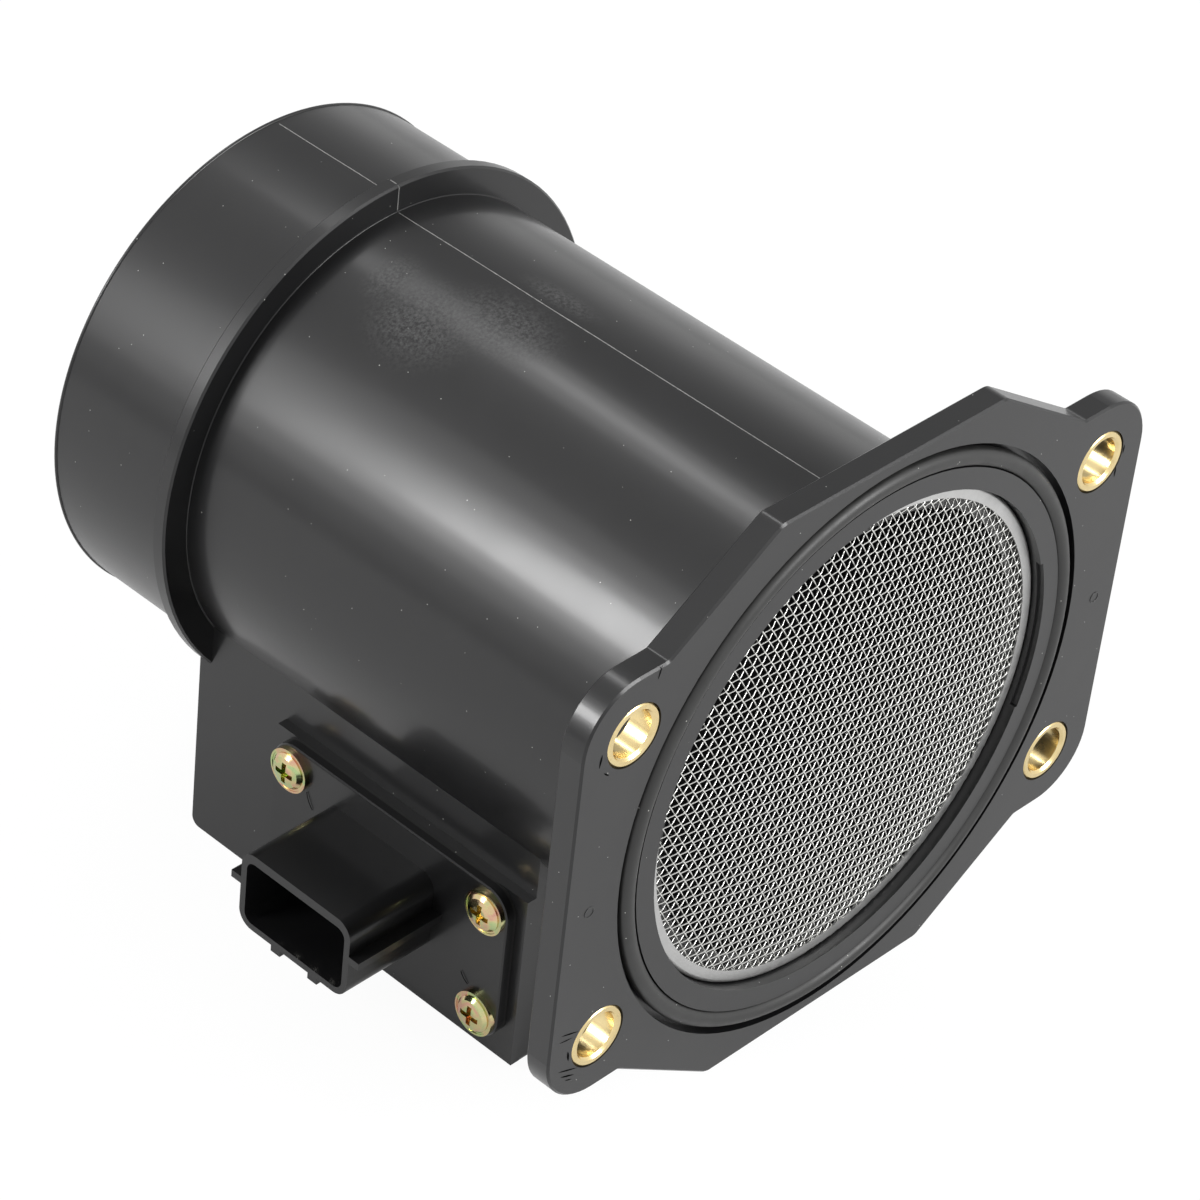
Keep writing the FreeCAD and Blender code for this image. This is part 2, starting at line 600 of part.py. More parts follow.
def makeScrew(index, y, drop):
    # low domed head on a lipped flange, with a cross recess; the shank points along +X from the cover
    body = newBody(f"module_screw_{index}")
    section = newSketch(body, "screwSection", "XY_Plane")
    polygon(section, [
        ("-headTop", "0"), ("screwLength", "0"), ("screwLength", "screwRadius"), ("0", "screwRadius"),
        ("0", "washerRadius"), ("-lipTop", "washerRadius"), ("-lipTop", "lipInnerRadius"),
        ("-washerThickness", "lipInnerRadius"), ("-washerThickness", "headRadius"),
        ("-headShoulder", "headRadius"), ("-domeStep", "domeStepRadius"), ("-headTop", "domeTopRadius"),
    ])
    turn(body, "Revolution", section, "screw", "H_Axis")
    recess = newSketch(body, "crossRecess", "YZ_Plane", "-headTop")
    long, wide = "crossHalfLength", "crossHalfWidth"
    polygon(recess, [
        (long, "-" + wide), (long, wide), (wide, wide), (wide, long), ("-" + wide, long), ("-" + wide, wide),
        ("-" + long, wide), ("-" + long, "-" + wide), ("-" + wide, "-" + wide), ("-" + wide, "-" + long),
        (wide, "-" + long), (wide, "-" + wide),
    ])
    pocket(body, recess, "cross", "crossDepth", reverse=True)
    bind(body, "Placement.Base.x", "-coverFace")
    bind(body, "Placement.Base.y", y)
    bind(body, "Placement.Base.z", "-" + drop)
    return body


def makeTerminal(index):
    body = newBody(f"terminal_{index + 1}")
    front, back = terminalSides(index)
    outline = newSketch(body, "bladeOutline", "XY_Plane", "-terminalBottomDrop")
    polygon(outline, [
        ("-terminalTip", f"tipFrontY{index + 1}"), ("-terminalTip", f"tipBackY{index + 1}"),
        ("-terminalShoulder", back),
        ("-boardFace", back), ("-boardFace", front), ("-terminalShoulder", front),
    ])
    pad(body, outline, "blade", "terminalThickness")
    return body


# Electronics in the well and the sensing elements in the bypass passage

def makeBlock(name, front, length, left, width, bottom, height):
    block = document.addObject("Part::Box", name)
    bind(block, "Length", length)
    bind(block, "Width", width)
    bind(block, "Height", height)
    bind(block, "Placement.Base.x", front)
    bind(block, "Placement.Base.y", left)
    bind(block, "Placement.Base.z", bottom)
    return block


def makeDrilled(name, front, depth, outline):
    # a flat piece in the YZ plane with the holes of the four sensor pins
    body = newBody(name)
    sketch = newSketch(body, name + "Outline", "YZ_Plane", front)
    rectangle(sketch, *outline)
    for y in ("pinFrontY", "pinBackY"):
        for z in ("-pinTopDrop", "-pinBottomDrop"):
            circle(sketch, y, z, "pinHoleRadius")
    pad(body, sketch, name + "Pad", depth)
    return body


def makePin(index, y, drop):
    pinBody = document.addObject("Part::Cylinder", f"sensor_pin_{index}")
    bind(pinBody, "Radius", "pinRadius")
    bind(pinBody, "Height", "pinLength")
    pinBody.Placement = FreeCAD.Placement(FreeCAD.Vector(), FreeCAD.Rotation(FreeCAD.Vector(0, 1, 0), 90))
    bind(pinBody, "Placement.Base.x", "-pinTail")
    bind(pinBody, "Placement.Base.y", y)
    bind(pinBody, "Placement.Base.z", "-" + drop)
    return pinBody


def makeWire(name, y):
    wire = document.addObject("Part::Cylinder", name)
    bind(wire, "Radius", "wireRadius")
    bind(wire, "Height", "wireLength")
    bind(wire, "Placement.Base.x", "-wireX")
    bind(wire, "Placement.Base.y", y)
    bind(wire, "Placement.Base.z", "-wireBottomDrop")
    return wire


def allSubParts():
    parts = [makeHousing()]
    corners = [("-", ""), ("", ""), ("-", "-"), ("", "-")]
    for index, (signX, signZ) in enumerate(corners, start=1):
        parts.append(makeBushing(index, signX, signZ))
    parts += [makeSeal(), makeScreenRing(), makeScreen(), makeCover(), makeGasket()]
    screwPlaces = [(y, drop) for drop in ("screwTopDrop", "screwBottomDrop")
                   for y in ("screwFrontY", "screwBackY")]
    for index, (y, drop) in enumerate(screwPlaces, start=1):
        parts.append(makeScrew(index, y, drop))
    for index in range(int(number("terminalCount"))):
        parts.append(makeTerminal(index))
    parts.append(makeDrilled("base_plate", "-plateFace", "plateThickness",
                             ("plateFrontY", "plateBackY", "-plateBottomDrop", "-plateTopDrop")))
    parts.append(makeDrilled("circuit_board", "-boardFace", "boardThickness",
                             ("boardFrontY", "boardBackY", "-boardBottomDrop", "-boardTopDrop")))
    parts.append(makeDrilled("sensor_holder", "-wellFloor", "holderThickness",
                             ("holderFrontY", "holderBackY", "-holderBottomDrop", "-holderTopDrop")))
    parts.append(makeBlock("control_chip", "-chipFace", "chipThickness", "chipFrontY", "chipLength",
                           "-chipBottomDrop", "chipHeight"))
    parts.append(makeBlock("power_transistor", "-chipFace", "chipThickness", "transistorFrontY",
                           "transistorLength", "-chipBottomDrop", "chipHeight"))
    pinPlaces = [(y, drop) for y in ("pinFrontY", "pinBackY") for drop in ("pinTopDrop", "pinBottomDrop")]
    for index, (y, drop) in enumerate(pinPlaces, start=1):
        parts.append(makePin(index, y, drop))
    parts += [makeWire("hot_wire", "pinFrontY"), makeWire("cold_wire", "pinBackY")]
    return parts


subParts = allSubParts()
document.recompute()
for item in document.Objects:
    if "Invalid" in item.State or "Error" in item.State:
        raise ValueError(f"{item.Label} failed: {item.State}")
os.makedirs("parts", exist_ok=True)
for item in subParts:
    if item.Shape.isNull() or not item.Shape.isValid():
        raise ValueError(f"{item.Label} has no valid shape")
    item.Shape.exportStep(f"parts/{item.Label}.step")
    print(item.Label, len(item.Shape.Solids), round(item.Shape.Volume, 1))
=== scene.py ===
# Mass airflow sensor with a moulded duct, a gauze inlet screen and a bolted sensor module
import bpy
import json
import math
import random
from mathutils import Matrix, Vector, noise


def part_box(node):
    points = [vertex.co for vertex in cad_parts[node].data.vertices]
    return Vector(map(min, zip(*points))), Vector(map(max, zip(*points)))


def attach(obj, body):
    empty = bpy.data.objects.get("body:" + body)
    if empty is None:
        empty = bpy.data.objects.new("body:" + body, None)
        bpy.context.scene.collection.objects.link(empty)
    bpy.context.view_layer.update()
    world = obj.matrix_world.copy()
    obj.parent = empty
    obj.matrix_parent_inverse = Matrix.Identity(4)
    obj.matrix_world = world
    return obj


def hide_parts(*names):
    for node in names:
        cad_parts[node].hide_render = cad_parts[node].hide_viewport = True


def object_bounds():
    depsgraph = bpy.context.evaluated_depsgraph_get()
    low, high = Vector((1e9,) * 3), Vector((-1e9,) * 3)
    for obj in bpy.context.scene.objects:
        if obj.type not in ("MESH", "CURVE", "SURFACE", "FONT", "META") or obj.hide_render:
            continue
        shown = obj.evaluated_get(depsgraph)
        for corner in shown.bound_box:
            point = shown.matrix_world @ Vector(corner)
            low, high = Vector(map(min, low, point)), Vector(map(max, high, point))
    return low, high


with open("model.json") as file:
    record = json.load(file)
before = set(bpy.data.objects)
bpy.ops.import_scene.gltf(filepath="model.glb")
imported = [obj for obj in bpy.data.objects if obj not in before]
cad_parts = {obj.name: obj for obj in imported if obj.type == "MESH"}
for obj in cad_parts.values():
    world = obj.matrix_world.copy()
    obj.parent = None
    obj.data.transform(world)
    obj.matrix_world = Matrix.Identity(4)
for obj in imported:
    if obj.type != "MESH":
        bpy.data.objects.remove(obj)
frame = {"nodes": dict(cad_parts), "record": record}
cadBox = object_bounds()
nodes = frame["nodes"]
mm = 0.001
print("Frame loaded with", len(nodes), "nodes")


# Colours are written as on a paint chart and turned to linear light here
def linearColour(hexColour):
    parts = [int(hexColour[i:i + 2], 16) / 255 for i in (1, 3, 5)]
    linear = [p / 12.92 if p <= 0.04045 else ((p + 0.055) / 1.055) ** 2.4 for p in parts]
    return (*linear, 1.0)


# Adds a node, fills in its settings and joins its inputs
def addNode(tree, kind, settings=None, links=None):
    node = tree.nodes.new(kind)
    for key, value in (settings or {}).items():
        if isinstance(key, int) or key in node.inputs:
            node.inputs[key].default_value = value
        else:
            setattr(node, key, value)
    for key, source in (links or {}).items():
        tree.links.new(source, node.inputs[key])
    return node


# A new material with its shader, and its coordinates in millimetres of the real part
def startMaterial(name, settings):
    material = bpy.data.materials.new(name)
    material.use_nodes = True
    tree = material.node_tree
    tree.nodes.clear()
    shader = addNode(tree, "ShaderNodeBsdfPrincipled", settings)
    addNode(tree, "ShaderNodeOutputMaterial", {}, {"Surface": shader.outputs[0]})
    place = addNode(tree, "ShaderNodeTexCoord")
    inMm = addNode(tree, "ShaderNodeMapping", {"Scale": (1 / mm, 1 / mm, 1 / mm)},
                   {"Vector": place.outputs["Object"]})
    return material, tree, shader, inMm.outputs[0]


noiseSpan = {"From Min": 0.3, "From Max": 0.7}      # nearly all values of a noise pattern lie here


# Clouds, size in mm, that vary the colour and the roughness together between two values each
def mottledFinish(tree, shader, place, size, colours, roughness, pattern):
    cloud = addNode(tree, "ShaderNodeTexNoise", {"Scale": 1 / size, **pattern}, {"Vector": place})
    first, second = (linearColour(colour) for colour in colours)
    body = addNode(tree, "ShaderNodeMix", {"data_type": "RGBA", 6: first, 7: second},
                   {0: cloud.outputs["Fac"]})
    dull = addNode(tree, "ShaderNodeMapRange",
                   {**noiseSpan, "To Min": roughness[0], "To Max": roughness[1]},
                   {"Value": cloud.outputs["Fac"]})
    tree.links.new(body.outputs[2], shader.inputs["Base Color"])
    tree.links.new(dull.outputs[0], shader.inputs["Roughness"])
    return body.outputs[2], dull.outputs[0]


# Specks of dust or lint over a colour
def sprinkledOver(tree, place, under, look):
    cells = addNode(tree, "ShaderNodeTexVoronoi", {"Scale": 1 / look["speckSpacing"]},
                    {"Vector": place})
    speck = addNode(tree, "ShaderNodeMath",
                    {"operation": "LESS_THAN", 1: look["speckSize"] / look["speckSpacing"]},
                    {0: cells.outputs["Distance"]})
    return addNode(tree, "ShaderNodeMix",
                   {"data_type": "RGBA", 7: linearColour(look["speckColour"])},
                   {0: speck.outputs[0], 6: under}).outputs[2]


# Fine relief that a spark-eroded mould leaves on plastic
def mouldGrain(tree, shader, place, look):
    grain = addNode(tree, "ShaderNodeTexNoise", {"Scale": 1 / look["grainSize"], "Detail": 2.0},
                    {"Vector": place})
    bump = addNode(tree, "ShaderNodeBump", {"Strength": 1.0, "Distance": look["grainDepth"] * mm},
                   {"Height": grain.outputs["Fac"]})
    tree.links.new(bump.outputs[0], shader.inputs["Normal"])


# Glass-filled nylon, injection moulded: near black, satin under a clearer skin, with a faint flow
# mottle, handling haze along the top of the duct whose grey is partly a painted highlight, and a
# few specks of pale dust
nylonLook = {
    "colours": ("#101011", "#171718"),
    "roughness": (0.34, 0.39),
    "ior": 1.53,
    "specular": 0.28,        # the glass fibres break up part of the mirror image
    "skin": 0.40,            # share of clear resin at the surface, which mirrors more sharply
    "skinRoughness": 0.15,
    "flowSize": 16.0,        # mm, length of the cloudy flow marks
    "grainSize": 0.3,        # mm, drawn coarser than the real 0.05
    "grainDepth": 0.004,     # mm
    "speckSpacing": 2.3,     # mm between specks of dust
    "speckSize": 0.07,       # mm, radius of a speck
    "speckColour": "#B8B8B4",
    # Grey of the haze: partly real handling haze, partly a painted highlight where the duct's broad
    # sheen falls
    "hazeAndSheenColour": "#6A6A6A",
    "hazeGrain": 0.5,        # mm, dried droplets and skin grease
    "hazeSpan": (0.38, 0.70),           # values of the grain's noise from clear to thickest
    "hazeAndSheenCover": 0.55,       # how much of the colour the thickest haze hides
    "hazeDulls": 0.5,        # roughness that the thickest haze adds
    "hazeHidesSkin": 0.55,   # share of the clear skin that it covers, so the highlight fades there
    # Where the haze and its painted highlight lie on the duct and how far they reach, in mm
    "hazeAndSheenSpots": (((-13.0, 71.0, 34.2), (9.5, 11.0, 9.0)), ((-7.0, 62.0, 36.0), (8.0, 12.0, 6.0)),
                  ((-10.0, 80.0, 34.8), (6.0, 4.5, 5.0)), ((3.0, 61.0, 36.5), (3.0, 9.0, 4.0))),
}


# Soft-edged patches of haze and painted highlight, each an ellipsoid round its centre
def hazeAndSheenPatches(tree, place, spots):
    hazeAndSheen = None
    for centre, reach in spots:
        shifted = addNode(tree, "ShaderNodeVectorMath", {"operation": "SUBTRACT", 1: centre},
                          {0: place})
        scaled = addNode(tree, "ShaderNodeVectorMath", {"operation": "DIVIDE", 1: reach},
                         {0: shifted.outputs[0]})
        away = addNode(tree, "ShaderNodeVectorMath", {"operation": "LENGTH"},
                       {0: scaled.outputs[0]})
        spot = addNode(tree, "ShaderNodeMapRange",
                       {"interpolation_type": "SMOOTHSTEP", "From Min": 1.0, "From Max": 0.1},
                       {"Value": away.outputs["Value"]}).outputs[0]
        hazeAndSheen = spot if hazeAndSheen is None else addNode(
            tree, "ShaderNodeMath", {"operation": "MAXIMUM"}, {0: hazeAndSheen, 1: spot}).outputs[0]
    return hazeAndSheen


def mouldedNylon():
    look = nylonLook
    material, tree, shader, place = startMaterial(
        "glass filled nylon, injection moulded",
        {"IOR": look["ior"], "Specular IOR Level": look["specular"], "Coat Weight": look["skin"],
         "Coat Roughness": look["skinRoughness"]})
    body, satin = mottledFinish(tree, shader, place, look["flowSize"], look["colours"],
                                look["roughness"],
                                {"Detail": 4.0, "Roughness": 0.6, "Distortion": 0.6})
    smudge = addNode(tree, "ShaderNodeTexNoise",
                     {"Scale": 1 / look["hazeGrain"], "Detail": 4.0, "Roughness": 0.7},
                     {"Vector": place})
    hazeAndSheen = hazeAndSheenPatches(tree, place, look["hazeAndSheenSpots"])
    clear, thickest = look["hazeSpan"]
    patchy = addNode(tree, "ShaderNodeMapRange",
                     {"From Min": clear, "From Max": thickest, "To Max": look["hazeAndSheenCover"]},
                     {"Value": smudge.outputs["Fac"]})
    amount = addNode(tree, "ShaderNodeMath", {"operation": "MULTIPLY"},
                     {0: hazeAndSheen, 1: patchy.outputs[0]}).outputs[0]
    # Mixes the grey in: real haze, and partly a painted highlight on the top of the duct
    hazedAndSheened = addNode(tree, "ShaderNodeMix",
                    {"data_type": "RGBA", 7: linearColour(look["hazeAndSheenColour"])},
                    {0: amount, 6: body})
    dusty = sprinkledOver(tree, place, hazedAndSheened.outputs[2], look)
    tree.links.new(dusty, shader.inputs["Base Color"])
    rougher = addNode(tree, "ShaderNodeMath",
                      {"operation": "MULTIPLY_ADD", 1: look["hazeDulls"]}, {0: amount, 2: satin})
    tree.links.new(rougher.outputs[0], shader.inputs["Roughness"])
    skin = addNode(tree, "ShaderNodeMath",
                   {"operation": "MULTIPLY_ADD", 1: -look["hazeHidesSkin"] * look["skin"],
                    2: look["skin"]}, {0: hazeAndSheen})
    tree.links.new(skin.outputs[0], shader.inputs["Coat Weight"])
    mouldGrain(tree, shader, place, look)
    return material


# Polybutylene, injection moulded: the module's cover and holder, a little flatter than the duct
polybutyleneLook = {
    "colours": ("#0D0D0E", "#131314"),
    "roughness": (0.33, 0.40),
    "ior": 1.55,
    "specular": 0.26,
    "skin": 0.34,
    "skinRoughness": 0.14,
    "flowSize": 9.0,         # mm
    "grainSize": 0.4,        # mm, drawn coarser than the real mould grain
    "grainDepth": 0.004,     # mm
    "rubbedEdge": 0.45,      # mm, width of the cover's top edge that handling has dulled
    "rubbedRoughness": 0.3,  # roughness that the rubbing adds there
}


def mouldedPolybutylene():
    look = polybutyleneLook
    material, tree, shader, place = startMaterial(
        "polybutylene, injection moulded",
        {"IOR": look["ior"], "Specular IOR Level": look["specular"], "Coat Weight": look["skin"],
         "Coat Roughness": look["skinRoughness"]})
    _, satin = mottledFinish(tree, shader, place, look["flowSize"], look["colours"],
                             look["roughness"], {"Detail": 5.0, "Roughness": 0.62})
    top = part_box("module_cover")[1].z / mm
    apart = addNode(tree, "ShaderNodeSeparateXYZ", {}, {0: place})
    rubbed = addNode(tree, "ShaderNodeMapRange",
                     {"From Min": top - look["rubbedEdge"],
                      "From Max": top - look["rubbedEdge"] / 2},
                     {"Value": apart.outputs["Z"]}).outputs[0]
    dulled = addNode(tree, "ShaderNodeMath",
                     {"operation": "MULTIPLY_ADD", 1: look["rubbedRoughness"]},
                     {0: rubbed, 2: satin})
    tree.links.new(dulled.outputs[0], shader.inputs["Roughness"])
    skin = addNode(tree, "ShaderNodeMath",
                   {"operation": "MULTIPLY_ADD", 1: -look["skin"], 2: look["skin"]}, {0: rubbed})
    tree.links.new(skin.outputs[0], shader.inputs["Coat Weight"])
    mouldGrain(tree, shader, place, look)
    return material


# Nitrile rubber, compression moulded: soft black with a dull bloom and lint caught on it
rubberLook = {
    "colours": ("#151515", "#2C2C2B"),
    "roughness": (0.38, 0.55),
    "bloomSize": 5.0,        # mm
    "speckSpacing": 2.0,     # mm between bits of lint
    "speckSize": 0.09,       # mm, radius
    "speckColour": "#A9A9A4",
}


def bloomedRubber(name, ior):
    look = rubberLook
    material, tree, shader, place = startMaterial(name, {"IOR": ior})
    body, _ = mottledFinish(tree, shader, place, look["bloomSize"], look["colours"],
                            look["roughness"], {"Detail": 6.0, "Roughness": 0.7})
    tree.links.new(sprinkledOver(tree, place, body, look), shader.inputs["Base Color"])
    return material


# Aluminium, rolled: dull silver with fine lines along the rolling and small oxide clouds
aluminiumLook = {
    "colours": ("#D2D2D1", "#B4B4B3"),
    "roughness": (0.34, 0.50),
    "lineSize": 0.18,        # mm between rolling lines
    "lineDepth": 0.003,      # mm
    "oxideSize": 2.2,        # mm
}


# The lines run along the axes on which the pattern is squeezed
def rolledAluminium(name, squeeze):
    look = aluminiumLook
    material, tree, shader, place = startMaterial(name, {"Metallic": 1.0})
    mottledFinish(tree, shader, place, look["oxideSize"], look["colours"], look["roughness"],
                  {"Detail": 7.0, "Roughness": 0.72})
    squeezed = addNode(tree, "ShaderNodeVectorMath", {"operation": "MULTIPLY", 1: squeeze},
                       {0: place})
    lines = addNode(tree, "ShaderNodeTexNoise", {"Scale": 1 / look["lineSize"], "Detail": 2.0},
                    {"Vector": squeezed.outputs[0]})
    bump = addNode(tree, "ShaderNodeBump", {"Strength": 1.0, "Distance": look["lineDepth"] * mm},
                   {"Height": lines.outputs["Fac"]})
    tree.links.new(bump.outputs[0], shader.inputs["Normal"])
    return material


# Brass, turned: warm gold, bright, with fine rings left by the tool round each bush
brassLook = {
    "colours": ("#F1DFAE", "#DCC285"),
    "roughness": (0.20, 0.30),
    "ringPitch": 0.22,       # mm between tool marks, drawn coarser than the real 0.05
    "ringDepth": 0.0025,     # mm
    "tarnishSize": 3.0,      # mm
    "boltSpacing": (45.0, 0.0, 25.0),   # mm, centre of a bush from the bore's axis
}
waveRepeat = 0.314           # scale at which a wave pattern repeats once per mm


def turnedBrass():
    look = brassLook
    material, tree, shader, place = startMaterial("brass, turned", {"Metallic": 1.0})
    mottledFinish(tree, shader, place, look["tarnishSize"], look["colours"], look["roughness"],
                  {"Detail": 5.0, "Roughness": 0.65})
    # All four bushes fold onto one, so one centre serves them all
    folded = addNode(tree, "ShaderNodeVectorMath", {"operation": "ABSOLUTE"}, {0: place})
    centred = addNode(tree, "ShaderNodeVectorMath",
                      {"operation": "SUBTRACT", 1: look["boltSpacing"]}, {0: folded.outputs[0]})
    rings = addNode(tree, "ShaderNodeTexWave",
                    {"wave_type": "RINGS", "rings_direction": "Y",
                     "Scale": waveRepeat / look["ringPitch"], "Distortion": 0.3},
                    {"Vector": centred.outputs[0]})
    alongBore = addNode(tree, "ShaderNodeTexWave",
                        {"bands_direction": "Y", "Scale": waveRepeat / look["ringPitch"],
                         "Distortion": 0.4}, {"Vector": place})
    both = addNode(tree, "ShaderNodeMath", {"operation": "ADD"},
                   {0: rings.outputs["Fac"], 1: alongBore.outputs["Fac"]})
    bump = addNode(tree, "ShaderNodeBump", {"Strength": 1.0, "Distance": look["ringDepth"] * mm},
                   {"Height": both.outputs[0]})
    tree.links.new(bump.outputs[0], shader.inputs["Normal"])
    return material


# Steel, zinc plated and yellow passivated: pale straw with pink and green clouds in the film
zincLook = {
    "film": ((0.36, "#B3C78E"), (0.5, "#D3C491"), (0.64, "#D8A791")),   # green, straw and pink
    "filmSize": 2.6,         # mm, width of a cloud of colour
    "roughness": (0.10, 0.22),
    "crystalSize": 1 / 3,    # mm, drawn coarser than real zinc crystals
    "crystalDepth": 0.004,   # mm
}


def passivatedZinc():
    look = zincLook
    material, tree, shader, place = startMaterial("steel, yellow zinc plated", {"Metallic": 1.0})
    film = addNode(tree, "ShaderNodeTexNoise",
                   {"Scale": 1 / look["filmSize"], "Detail": 3.0, "Roughness": 0.55,
                    "Distortion": 0.8}, {"Vector": place})
    tint = addNode(tree, "ShaderNodeValToRGB", {}, {"Fac": film.outputs["Fac"]})
    # The ramp starts with a stop at each end and gets one more between them
    stops = tint.color_ramp.elements
    stops.new(look["film"][1][0])
    for stop, (position, colour) in zip(stops, look["film"]):
        stop.position, stop.color = position, linearColour(colour)
    tree.links.new(tint.outputs[0], shader.inputs["Base Color"])
    crystals = addNode(tree, "ShaderNodeTexNoise",
                       {"Scale": 1 / look["crystalSize"], "Detail": 5.0, "Roughness": 0.7},
                       {"Vector": place})
    low, high = look["roughness"]
    polish = addNode(tree, "ShaderNodeMapRange", {**noiseSpan, "To Min": low, "To Max": high},
                     {"Value": crystals.outputs["Fac"]})
    tree.links.new(polish.outputs[0], shader.inputs["Roughness"])
    bump = addNode(tree, "ShaderNodeBump",
                   {"Strength": 1.0, "Distance": look["crystalDepth"] * mm},
                   {"Height": crystals.outputs["Fac"]})
    tree.links.new(bump.outputs[0], shader.inputs["Normal"])
    return material


# Metal of small parts: drawn wire, tinned strip or pins, each with its own hue
def smallMetal(name, colours, roughness, patchSize):
    material, tree, shader, place = startMaterial(name, {"Metallic": 1.0})
    mottledFinish(tree, shader, place, patchSize, colours, roughness,
                  {"Detail": 5.0, "Roughness": 0.65})
    return material


# Small parts that aren't metal: ceramic, resin, glass film and worn nylon
def smallDielectric(name, colours, roughness, fleckSize, ior=1.5):
    material, tree, shader, place = startMaterial(name, {"IOR": ior})
    mottledFinish(tree, shader, place, fleckSize, colours, roughness,
                  {"Detail": 4.0, "Roughness": 0.7})
    return material


nylon = mouldedNylon()
polybutylene = mouldedPolybutylene()
finishes = {
    "moulded_nylon": nylon,
    "moulded_cover": polybutylene,
    "seal_rubber": bloomedRubber("nitrile rubber, compression moulded", 1.52),
    # Silicone cut from a sheet bends light less, so it looks a little flatter
    "gasket_rubber": bloomedRubber("silicone rubber, cut sheet", 1.43),
    # The ring's strip is rolled round the bore, the plate's along the duct
    "rolled_aluminium": rolledAluminium("aluminium strip, rolled", (0.25, 1.0, 0.25)),
    "plate_aluminium": rolledAluminium("aluminium plate, rolled", (1.0, 0.05, 1.0)),
    # Drawn through a die, so the wire is bright and nearly smooth
    "stainless_wire": smallMetal("stainless steel wire, drawn", ("#EAEAE7", "#D0D0CC"),
                                 (0.18, 0.30), 0.7),
    "bushing_brass": turnedBrass(),
    "yellow_zinc": passivatedZinc(),
    # Pins are pressed in bright, tin is softer and a little cloudy
    "pin_steel": smallMetal("steel pin, drawn", ("#B4B4B4", "#8E8E8C"), (0.2, 0.35), 1.0),
    "tinned_terminal": smallMetal("copper alloy, tin plated", ("#C9C7C0", "#A5A39C"),
                                  (0.22, 0.4), 0.8),
    # Fired alumina is chalky white, moulded epoxy dull dark grey, the fired film smooth and bluish
    "board_ceramic": smallDielectric("alumina, fired", ("#D9D5C8", "#C4BFB0"), (0.45, 0.6), 0.6),
    "chip_resin": smallDielectric("epoxy, transfer moulded", ("#242424", "#303030"),
                                  (0.5, 0.65), 0.3),
    "sensing_film": smallDielectric("glass film, fired", ("#B7C2C9", "#93A3AD"),
                                    (0.15, 0.3), 0.5),
}
slotOf = {part["node"]: part["material_slot"] for part in frame["record"]["subparts"]}
for nodeName, node in nodes.items():
    material = finishes[slotOf[nodeName]]
    if not node.material_slots:
        node.data.materials.append(material)
    for slot in node.material_slots:
        slot.material = material
print("Materials made and put on the nodes")


# A mesh piece in the part's frame, riding on the one body
def addPiece(name, vertices, faces, material, smooth=True):
    mesh = bpy.data.meshes.new(name)
    mesh.from_pydata(vertices, [], faces)
    mesh.update()
    mesh.materials.append(material)
    for polygon in mesh.polygons:
        polygon.use_smooth = smooth
    piece = bpy.data.objects.new(name, mesh)
    bpy.context.scene.collection.objects.link(piece)
    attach(piece, "root")
    return piece


# Round wire along a line of points: adds to the two lists, with closed ends
def addWire(vertices, faces, points, radius, sides, side):
    first = len(vertices)
    count = len(points)
    for index, point in enumerate(points):
        ahead = points[min(index + 1, count - 1)] - points[max(index - 1, 0)]
        ahead.normalize()
        across = ahead.cross(side).normalized()
        over = across.cross(ahead)
        for corner in range(sides):
            turn = 2 * math.pi * corner / sides
            vertices.append(point + (across * math.cos(turn) + over * math.sin(turn)) * radius)
    for index in range(count - 1):
        ring = first + index * sides
        for corner in range(sides):
            a = ring + corner
            b = ring + (corner + 1) % sides
            faces.append((a, b, b + sides, a + sides))
    faces.append(tuple(first + corner for corner in reversed(range(sides))))
    faces.append(tuple(first + (count - 1) * sides + corner for corner in range(sides)))


# Woven gauze held in the rolled ring. Warp and weft cross over and under, both crimped
gauze = {
    "warpPitch": 1.19,       # mm between wires
    "weftPitch": 1.12,
    "wire": 0.20,            # mm, wire diameter
    "radius": 37.0,          # mm, ends hidden inside the ring's channel
    "rimGap": 0.4,           # mm, no wire runs nearer to the rim than this
    "planeY": 2.2,           # mm behind the flange face
    "bulge": 2.35,           # mm, how far the middle is pressed forward
    "lean": 0.2,             # the bulge is fuller towards the upper left
    "warpAngle": 120.3,      # degrees from the horizontal, seen from the front
    "weftAngle": 28.0,
    "warpCrimp": 0.06,       # mm, half the wave of a wire
    "weftCrimp": 0.17,
    "wander": 0.035,         # mm, unevenness between wires
    "driftScale": 0.06,      # per mm, how soon the drift of neighbouring wires changes
    "pointsPerPitch": 4,
    "sides": 6,
}


